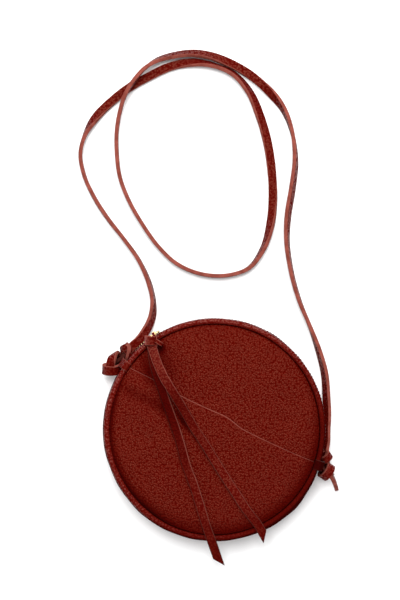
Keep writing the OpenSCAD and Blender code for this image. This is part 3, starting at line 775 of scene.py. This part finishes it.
def gusset_lining_section(d):
    line = [(98.95 + 0.12 * math.sin(math.radians(d) * 40 + z * 0.3), z) for z in np.linspace(5.6, 37.2, 9)]
    return thick_line(line, LINING_T)


gusset_lining = around(np.arange(138.5, 347.5, 1.0), gusset_lining_section).make(
    "gusset_lining_cloth", [lining_cloth, lining_cloth], "lining")
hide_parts("gusset_lining")
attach(gusset_lining, "bag")


def strip_section(d, front_side):
    """A zip strip: sewn in at the welt, with a turned edge beside the zip."""
    turned = 0.55
    if front_side:
        zs = [27.5, 28.4, 30, 32.5, 35, 36.5, 37.0]
        push = FRONT_SHARE * bulge(d)
        line = [(wall_out(z, d, FRONT_FOLDS, push) - (turned if z < 28 else 0), z) for z in zs] + HIGH_HEM
    else:
        zs = [5.6, 6.4, 8.5, 11, 13, 14.1, 14.8]
        line = LOW_HEM + [(wall_out(z, d, BACK_FOLDS, bulge(d)) - (turned if z > 14.5 else 0), z) for z in zs]
    return thick_line(line, LEATHER_T)


def zip_strip(name, front_side, node_name, body):
    count = len(strip_section(0, front_side))
    kinds = [0] * count
    tip = count - 1 if front_side else count // 2 - 1
    for k in (tip - 1, tip, tip + 1):
        kinds[k % count] = 1
    # Both strips carry an even painted shade
    piece = around(np.arange(ZIP_RIGHT, ZIP_LEFT + 0.01, 0.75), lambda d: strip_section(d, front_side),
                   kinds=kinds, shade=lambda d, s: 0.3).make(name, [skin_soft, edge], "leather")
    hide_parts(node_name)
    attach(piece, body)


zip_strip("zip_strip_leather_front", True, "zip_strip_front", "flap")
zip_strip("zip_strip_leather_back", False, "zip_strip_back", "bag")


# Rows of stitches beside the turned edges
def stitches(name, z, seed, share, body):
    b = Build()
    for d in np.arange(ZIP_RIGHT + 1, ZIP_LEFT - 2, 1.75):
        r = wall_out(z, d, seed, bulge(d) * share) + 0.1
        a0, a1 = math.radians(d), math.radians(d + 1.15)
        rings = []
        for k in range(5):
            u = k / 4
            out, _, up = directions(a0 + (a1 - a0) * u)
            c = out * (r + 0.18 * math.sin(math.pi * u) - 0.1) + up * z
            size = 0.3 * (0.55 + 0.45 * math.sin(math.pi * u))
            turns = np.arange(6) * math.pi / 3
            rings.append([c + size * (math.cos(q) * out + math.sin(q) * up) for q in turns])
        faces = ring_faces(5, 6) + [tuple(range(6)), tuple(range(24, 30))[::-1]]
        b.add(np.array(rings).reshape(-1, 3), faces)
    piece = b.make(name, [stitch_thread], "leather")
    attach(piece, body)


stitches("zip_stitches_front", 30.2, FRONT_FOLDS, FRONT_SHARE, "flap")
stitches("zip_stitches_back", 11.8, BACK_FOLDS, 1, "bag")


# Piping: a rolled welt with small puckers
def welt_section(z0, seed, rough_side):
    """Section of a welt at a height; rough_side puckers it more at the left."""
    def section(d):
        arc = math.radians(d) * WELT_R
        turn = d % 360
        side = soft_step(140, 160, turn) * (1 - soft_step(225, 250, turn)) if rough_side else 0
        pucker = (0.06 + 0.13 * side) * math.sin(arc * 1.75 + 1.2 * math.sin(arc * 0.21))
        pucker = pucker + 0.07 * waves(arc, 0.0, 11, seed)
        drift = 0.12 * math.sin(math.radians(d) * 7 + seed)
        q = np.arange(18) * 2 * math.pi / 18
        size = WELT_HALF - 0.08 + 0.35 * side + pucker * np.clip(np.sin(q) + 0.9, 0.3, 1.6) * 0.7
        return np.column_stack([WELT_R - 0.45 * side + drift * 0.5 + size * np.cos(q), z0 + size * np.sin(q)])
    return section


# Painted shade on stretches of the front piping, most at its right and lower side
WELT_SHADE_AT = [0, 20, 50, 140, 160, 225, 250, 280, 300, 330, 360]
WELT_SHADE = [0.55, 0.3, 0.05, 0, 0, 0.22, 0.38, 0.4, 0.5, 0.55, 0.55]


def welt_shade(d, section):
    # Painted shade, deeper on the piping's outer side
    outer = soft_step(99.5, 101.5, section[:, 0])
    return np.clip(np.interp(d % 360, WELT_SHADE_AT, WELT_SHADE) * (1 + 0.8 * outer), 0, 0.9)


ring_degrees = np.arange(0, 360, 0.4)
front_welt = around(ring_degrees, welt_section(FRONT_WELT_Z, 5, True), True, shade=welt_shade).make(
    "front_piping", [skin_pipe], "leather")
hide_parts("front_welt_lower", "front_welt_upper")
blended(front_welt)
back_welt = around(ring_degrees, welt_section(BACK_WELT_Z, 12, False), True).make(
    "back_piping", [skin_pipe], "leather")
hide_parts("back_welt")
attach(back_welt, "bag")


# Zip tapes and teeth
def zip_course(d, side):
    """How far a side of the zip stands out, and how far it is parted past the slider."""
    return bulge(d) * (FRONT_SHARE if side > 0 else BACK_SHARE), 0.0 if d < SLIDER_AT else 1.6


def tape_section(d, side):
    shift, spread = zip_course(d, side)
    zs = np.linspace(ZIP_Z + side * (2.2 + spread), ZIP_Z + side * 10, 6)
    line = [(TAPE_R + 0.3 + shift * (1 - 0.35 * abs(z - ZIP_Z) / 10), z) for z in zs[::side]]
    return thick_line(line, 0.7)


tape_degrees = [*np.arange(ZIP_RIGHT + 0.3, SLIDER_AT, 1.0), SLIDER_AT - 0.05, SLIDER_AT + 0.05,
                *np.arange(SLIDER_AT + 1, ZIP_LEFT, 0.5)]
for side, word, body in ((1, "front", "flap"), (-1, "back", "bag")):
    tape = around(tape_degrees, lambda d, s=side: tape_section(d, s)).make(
        "zip_tape_cloth_" + word, [tape_cloth, tape_cloth], "zip_tape")
    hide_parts("zip_tape_" + word)
    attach(tape, body)

# Corners of one tooth: outwards, along the zip, and from its tape towards the other row
TOOTH = np.array([
    (x * half_out, y * half_along, z)
    for half_out, half_along, z in ((1.3, 0.42, 0.0), (1.3, 0.5, 1.6), (1.15, 0.5, 2.4), (0.85, 0.32, 2.95))
    for x, y in ((-1, -1), (1, -1), (1, 1), (-1, 1))])
TOOTH_FACES = [(3, 2, 1, 0), (12, 13, 14, 15)] + ring_faces(4, 4)


def soften(piece, width, segments):
    """Bevels a metal piece's edges."""
    bevel = piece.modifiers.new("edges", "BEVEL")
    bevel.width, bevel.segments = width, segments
    return bevel


def teeth_row(name, side, node_name, body):
    b = Build()
    pitch = 2.6 / TAPE_R * 180 / math.pi
    first = ZIP_RIGHT + 4 + (0 if side > 0 else pitch / 2)
    for d in np.arange(first + 0.35, ZIP_LEFT - 2.2, pitch):
        push, spread = zip_course(d, side)
        out, along, up = directions(math.radians(d))
        foot = out * (TAPE_R + push) + up * (ZIP_Z + side * (spread + 2.3))
        b.add(foot + TOOTH[:, :1] * out + TOOTH[:, 1:2] * along - side * TOOTH[:, 2:3] * up, TOOTH_FACES)
    piece = b.make(name, [brass], "brass")
    for polygon in piece.data.polygons:
        polygon.use_smooth = False
    soften(piece, 0.00012, 1)
    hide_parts(node_name)
    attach(piece, body)


teeth_row("zip_teeth_row_front", 1, "zip_teeth_front", "flap")
teeth_row("zip_teeth_row_back", -1, "zip_teeth_back", "bag")


# Tabs that hold the strap: a strip of leather over the welt and down to the back seam
def tab(name, degree, width, node_name, shade):
    path = [(96.6, 41.2), (97.1, 42.35), (98.3, 43.35), (100.0, 43.4), (101.6, 42.4), (102.7, 40.5),
            (104.0, 36.5), (105.3, 32.6), (105.6, 28), (105.6, 20), (105.6, 12), (105.1, 9.6), (103.9, 7.4),
            (102.9, 6.3)]
    out, along, up = directions(math.radians(degree))
    points, _ = run_through([out * r + up * z for r, z in path], 1.0)
    piece = ribbon(Build(), points, np.tile(along, (len(points), 1)), width, LEATHER_T, 0.15, 17, wobble=0.2,
                   shade=shade).make(name, [skin_soft, edge], "leather")
    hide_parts(node_name)
    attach(piece, "bag")


# Both tabs carry painted shade, the right one nearly black
tab("strap_tab_left", 144.2, 8, "strap_loop_left", 0.15)
tab("strap_tab_right", -19, 9, "strap_loop_right", 0.85)


# Knots, tied from the strap's own lace
def band(build, centre, axis, sideways, wide, high, w, t, seed, pale_at=None, shade=0.0):
    """An oval wrap: it turns round the axis, wide along sideways and high along the third direction."""
    axis, sideways = unit(axis), unit(sideways)
    third = np.cross(axis, sideways)
    q = np.radians(np.linspace(0, 360, 51, endpoint=False))
    points = (np.asarray(centre, float) + np.cos(q)[:, None] * sideways * wide
              + np.sin(q)[:, None] * third * high)
    pale = 0.0 if pale_at is None else 1.8 * hill(pale_at, 46, (np.degrees(q) + 360) % 360)
    across = np.tile(axis, (len(q), 1))
    ribbon(build, points, across, w, t, 0.2, seed, True, wobble=0.2, pale=pale, shade=shade)


def strand(build, rows, w, t, seed, shade=0.0):
    """A lace through rows of place and width direction."""
    points, across = run_through(rows, 1.2)
    ribbon(build, points, across, w, t, 0.2, seed, wobble=0.2, shade=shade)


# Strands inside the left knot carry painted shade, darkest deep in the knot
left = Build()
strand(left, [(-82.4, 60, 18, 0.1, 0, 1), (-80.3, 65, 26, 0.1, 0, 1), (-79, 70, 27, 0.1, 0, 1),
              (-78.9, 75.2, 25, 0.1, 0, 1), (-80.6, 77.2, 23, 0, 0.1, 1)], 6.6, STRAP_T, 2, shade=0.2)
strand(left, [(-85, 68.2, 15, 0.3, -0.9, 0.3), (-85.2, 72.2, 20.5, 0.33, -0.9, 0.3),
              (-82, 74.7, 25.5, 0.4, -0.87, 0.3), (-79.2, 76, 25.5, 0.45, -0.85, 0.3)],
       6.6, 2.6, 3, shade=0.2)
strand(left, [(-96, 50, 20, 0.97, 0.1, 0.2), (-95.8, 57, 25, 0.93, 0.25, 0.3),
              (-94.8, 62.5, 26.8, 0.87, 0.42, 0.3), (-93.6, 66.4, 24.5, 0.85, 0.5, 0.15),
              (-91.8, 68.2, 19, 0.85, 0.5, 0), (-89, 66, 14.5, 1, 0.3, 0)], 8.4, 3.2, 6)
band(left, (-94.6, 54.6, 19.4), (0.06, 1, 0.27), (1, 0, 0), 7.8, 6.4, 8.8, 3.2, 4)
strand(left, [(-92, 56.4, 25, 0, 0.2, 1), (-88.5, 57.6, 27, 0, 0.2, 1), (-85.8, 59.4, 27, 0, 0.2, 1),
              (-84, 62.4, 24, 0, 0.2, 1)], 5, 2, 7)
strand(left, [(-79.5, 70.5, 20, 0.4, 0.3, 0.85), (-84.5, 66, 20, 0.4, 0.3, 0.85),
              (-90, 61.5, 18, 0.3, 0.3, 0.9), (-95, 57, 16, 0.3, 0.3, 0.9)], 7.5, 3.2, 9, shade=0.8)
strand(left, [(-84, 57, 13, 0.5, 0.5, 0.6), (-87, 63, 14, 0.6, 0.6, 0.5), (-90.5, 66, 15, 0.6, 0.6, 0.5),
              (-94, 63, 15.5, 0.6, 0.6, 0.5), (-95, 57, 15, 0.6, 0.5, 0.5)], 8, 3, 5, shade=0.75)
strand(left, [(-95, 59.5, 14, 0, 1, 0.2), (-90, 60.5, 14.5, 0, 1, 0.2), (-85.5, 62, 14.5, 0, 1, 0.2),
              (-80, 68, 15, -0.5, 0.8, 0.2)], 8, 3, 8, shade=0.75)
knot_left = left.make("strap_knot_left_lace", [lace_skin, edge], "leather")
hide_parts("strap_knot_left")
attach(knot_left, "bag")

# Strands of the right knot carry painted shade, darkest deep in the knot
right = Build()
band(right, (102.6, -26.8, 19.5), (0.55, -0.8, -0.35), (0.82, 0.57, 0), 5.0, 5.0, 7.2, 2.8, 12, shade=0.06)
band(right, (103.8, -40.2, 18), (0.8, -0.57, -0.35), (0.57, 0.82, 0), 7.0, 5.4, 8.2, 2.8, 14)
strand(right, [(104.5, -24, 15, 0, 0.2, 1), (104.6, -28, 17, 0.2, 0.2, 1), (104.4, -34, 19, 0.5, 0.2, 0.9),
               (105.6, -40, 19, 0.5, 0.2, 0.8), (108.5, -44.5, 18.5, 0.4, 0.2, 0.8)], 7.2, 3.2, 15, shade=0.5)
strand(right, [(99, -31, 18, 0.3, 0, 1), (98.6, -36, 19, 0.6, 0, 0.8), (101, -41, 20, 0.8, 0, 0.6),
               (105, -43, 18, 0.8, 0.2, 0.5)], 7, 3, 16, shade=0.75)
knot_right = right.make("strap_knot_right_lace", [lace_skin, edge], "leather")
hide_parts("strap_knot_right")
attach(knot_right, "bag")

STRAP_END = [(107.5, -43, 20, 12), (110.3, -48, 17, 10), (112.5, -53, 12, 8), (113.8, -56.5, 7, 5)]
end_points, end_roll = run_through(STRAP_END, 1.2)
# Painted shade on the end where it comes out of the knot
strap_end = ribbon(
    Build(), end_points, rolled(end_points, end_roll[:, 0]), 7.6, STRAP_T, 0.1, 21,
    shade=0.25 * hill(0, 3, np.arange(len(end_points)))).make("strap_end_lace", [lace_skin, edge], "leather")
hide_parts("strap_end_right")
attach(strap_end, "bag")
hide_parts("strap")
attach(strap, "bag")


# Tails of the zip pull, as offsets from the middle of their hitch; the rows below go with these points
TAIL_LEFT = [
    (-3.5, -1), (-1, -18), (2, -29), (6, -40), (10, -52), (16, -69), (22, -87), (28, -109),
    (35, -128), (40, -144), (43, -154), (46, -164), (49, -173), (52.5, -183), (58, -199)]
TAIL_RIGHT = [
    (-3.5, -1), (2, -17), (8, -30), (14, -40), (20, -50), (27, -62), (35, -76), (43, -88),
    (56, -109), (68, -128), (74, -137), (79, -145), (86, -155), (93, -164), (100, -176)]
LEFT_TILT = [0, 4, 10, 16, 18, 18, 17, 14, 11, 8, 7, 5, 4, 3, 2]
RIGHT_TILT = [0, 2, 3, 2, 0, -3, -6, -6, -5, -4, -3, -2, 0, 0, 0]
# Painted shade along each tail, deepest where it turns from the light, and painted sheen on the upper part of
# the right tail
LEFT_SHADE = [0.3, 0.4, 0.5, 0.55, 0.55, 0.5, 0.4, 0.25, 0.1, 0.05, 0.1, 0.2, 0.3, 0.38, 0.42]
RIGHT_SHADE = [0.05, 0.08, 0.12, 0.16, 0.3, 0.35, 0.3, 0.2, 0.1, 0.05, 0.05, 0.1, 0.2, 0.3, 0.36]
LEFT_SHEEN = [0] * len(TAIL_LEFT)
RIGHT_SHEEN = [0.08, 0.1, 0.06, 0.02] + [0] * (len(TAIL_RIGHT) - 4)
# Painted shade on the cut edges, on the right and on the left of each tail
LEFT_RIMS = [(0.3, 0.3, 0.2, 0, 0, 0, 0, 0.1, 0.25, 0.35, 0.4, 0.4, 0.45, 0.5, 0.6),
             (0.9,) * 9 + (0.8, 0.7, 0.65, 0.6, 0.6, 0.6)]
RIGHT_RIMS = [(0.15, 0.1, 0.1, 0.15, 0.2, 0.25, 0.3, 0.35, 0.4, 0.45, 0.45, 0.45, 0.5, 0.5, 0.6),
              (0.3, 0.2, 0.25, 0.3, 0.45, 0.6, 0.7, 0.7, 0.7, 0.7, 0.65, 0.6, 0.6, 0.6, 0.6)]


def tail(name, offsets, tilt, shades, sheens, rims, stack, lift, node_name, seed, slant):
    """A tail on the front: stack is its height over it at the first points, lift how far it then rises."""
    route = []
    for i, (dx, dy) in enumerate(offsets):
        x, y = HITCH[0] + dx, HITCH[1] + dy
        z = max(swell(np.hypot(x, y)) + 1.8, 42.5) + 0.4
        far = np.hypot(dx, dy)
        rise = lift * math.sin(math.pi * min(far / 74, 1)) ** 1.3
        tip = abs(math.sin(math.radians(tilt[i]))) * LACE_W / 2
        route.append((x, y, z + LACE_T / 2 + stack[min(i, len(stack) - 1)] + rise + tip, 90 + tilt[i],
                      shades[i], sheens[i], rims[0][i], rims[1][i]))
    points, roll = run_through(route, 2.0)
    more = np.clip(roll[:, 1:], 0, DARKEST)
    piece = ribbon(
        Build(), points, rolled(points, roll[:, 0]), 8.2, LACE_T, 0.18, seed, slant=slant, shade=more[:, 0],
        pale=more[:, 1], rims=(more[:, 2], more[:, 3])).make(name, [lace_skin, edge], "leather")
    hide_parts(node_name)
    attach(piece, "tails")


tail("tail_left_lace", TAIL_LEFT, LEFT_TILT, LEFT_SHADE, LEFT_SHEEN, LEFT_RIMS,
     [0.3, 0.2, 0], 2.4, "pull_tail_left", 31, (0, -9))
tail("tail_right_lace", TAIL_RIGHT, RIGHT_TILT, RIGHT_SHADE, RIGHT_SHEEN, RIGHT_RIMS,
     [2.4, 2.4, 2.4, 2.4, 1.4, 0.4, 0], 4.6, "pull_tail_right", 32, (0, 9))

# The hitch: a turn round the link's bar and a band across the two tails
BAR = (-0.8434, -0.5373, 0)
BAR_AT = (-55.34, 86.87, 46.08)
hitch = Build()
band(hitch, BAR_AT, BAR, (-0.5373, 0.8434, 0), 1.75, 1.75, 2.2, 1.2, 41)
strand(hitch, [(-55, 85, 47.2, 1, 0.2, 0), (-54.6, 83, 48, 1, 0.1, 0), (-54.2, 79, 47.6, 1, 0, 0),
               (-55, 74.5, 46.6, 1, 0, 0)], 4.6, 1.9, 42)
strand(hitch, [(-55.5, 85.4, 44.4, 1, 0.2, 0), (-55.2, 82, 44.2, 1, 0.1, 0), (-55.5, 78, 44.4, 1, 0, 0),
               (-56, 74.5, 44.6, 1, 0, 0)], 4.6, 1.6, 43)
band(hitch, (-58.4, 81.6, 46.2), (0.04, 1, 0.03), (1, -0.04, 0), 4.1, 3.9, 8.3, 2.8, 44, pale_at=180)
strand(hitch, [(-53.5, 81.6, 50, 0.5, 0.85, 0), (-50, 79.4, 50, 0.5, 0.85, 0),
               (-47.6, 77.8, 47.6, 0.5, 0.85, 0)], 3.4, 1.8, 45)
pull = hitch.make("pull_knot_lace", [lace_skin, edge], "leather")
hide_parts("pull_hitch")
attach(pull, "hitch")


# CAD pieces that stay: their finish, and softened edges on the metal
METAL = ("zip_slider", "zip_bail", "pull_link", "zip_stop_right", "zip_stop_left_back", "zip_stop_left_front")
CORDS = ("front_welt_cord_lower", "front_welt_cord_upper", "back_welt_cord")
for names, finish in ((METAL, brass), (CORDS, piping_cotton)):
    for name in names:
        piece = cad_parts[name]
        piece.data.materials.clear()
        piece.data.materials.append(finish)
        if finish is brass and name != "pull_link":
            soften(piece, 0.00022, 2).limit_method = "ANGLE"


# Floor, light and world
floor_mesh = bpy.data.meshes.new("floor")
floor_mesh.from_pydata([(-6, -6, 0), (6, -6, 0), (6, 6, 0), (-6, 6, 0)], [], [(0, 1, 2, 3)])
floor = bpy.data.objects.new("floor", floor_mesh)
scene.collection.objects.link(floor)
paper, tree, shader, place = material("paper_white")
white = blend_colours(tree, noise(tree, place, 400, 2), (0.9,) * 3, (0.93,) * 3)
put(tree, shader, Base_Color=white)
shader.inputs["Roughness"].default_value = 0.9
shader.inputs["Specular IOR Level"].default_value = 0.1
floor_mesh.materials.append(paper)

world = bpy.data.worlds.new("studio")
world.use_nodes = True
scene.world = world
tree = world.node_tree
tree.nodes.clear()
out = node(tree, "ShaderNodeOutputWorld")
rays = node(tree, "ShaderNodeLightPath")


def glow(strength):
    """A white background of this strength."""
    n = node(tree, "ShaderNodeBackground")
    n.inputs[0].default_value, n.inputs[1].default_value = (1, 1, 1, 1), strength
    return n


def either(question, no, yes):
    """The second shader for the rays named, and the first for all others."""
    n = node(tree, "ShaderNodeMixShader")
    for socket, value in zip(n.inputs, (rays.outputs[question], no.outputs[0], yes.outputs[0])):
        tree.links.new(value, socket)
    return n


shiny = either("Is Glossy Ray", glow(0.82), glow(0.16))
sky = either("Is Camera Ray", shiny, glow(1.0))
tree.links.new(sky.outputs[0], out.inputs[0])


def area_light(name, place, aim, size, power):
    data = bpy.data.lights.new(name, "AREA")
    data.shape, data.size, data.energy = "SQUARE", size, power
    lamp = bpy.data.objects.new(name, data)
    lamp.location = place
    lamp.rotation_euler = (Vector(aim) - Vector(place)).to_track_quat("-Z", "Y").to_euler()
    scene.collection.objects.link(lamp)


area_light("window", (-0.25, 0.8, 2.5), (0, 0.05, 0), 0.85, 46)
area_light("far_wall", (0.35, 1.8, 1.6), (0, 0, 0), 1.9, 46)

view = scene.view_settings
view.view_transform = "Standard"
view.look = "None"
view.exposure = 0
view.gamma = 1
